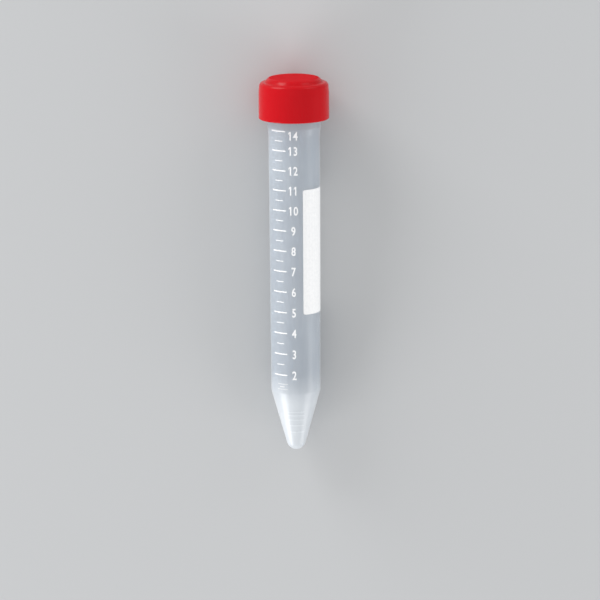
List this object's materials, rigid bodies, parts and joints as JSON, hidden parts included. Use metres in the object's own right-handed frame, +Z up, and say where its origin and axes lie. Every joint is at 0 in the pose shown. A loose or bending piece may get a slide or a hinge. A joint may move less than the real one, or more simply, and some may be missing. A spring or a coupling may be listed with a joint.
{
  "type": "conical centrifuge tube",
  "caption": "Translucent tapered-bottom centrifuge tube with a printed volume scale, a white writing patch and a flat red screw cap; the cap lifts off along the axis.",
  "frame": {"origin": "on the floor, under the centre of the lying tube's bounding box", "axes": "+Y along the tube towards the cap, +Z up, +X to the right when seen from above with the cap at the top; the tube's axis rises 2.2 degrees towards the cap because it rests on the cap's lower edge and on the corner of the cone"},
  "size_m": [0.0222, 0.1202, 0.0225],
  "materials": {
    "tube_plastic": "translucent natural polypropylene",
    "cap_plastic": "smooth gloss red moulding",
    "white_ink": "matt white screen print"
  },
  "bodies": {
    "tube": {"tube": "tube_plastic"},
    "cap": {"cap": "cap_plastic"}
  },
  "joints": [
    {"name": "cap_lift", "type": "slide", "parent": "tube", "child": "cap", "axis": [0, 0.9993, 0.038], "range_m": [0, 0.03]}
  ]
}
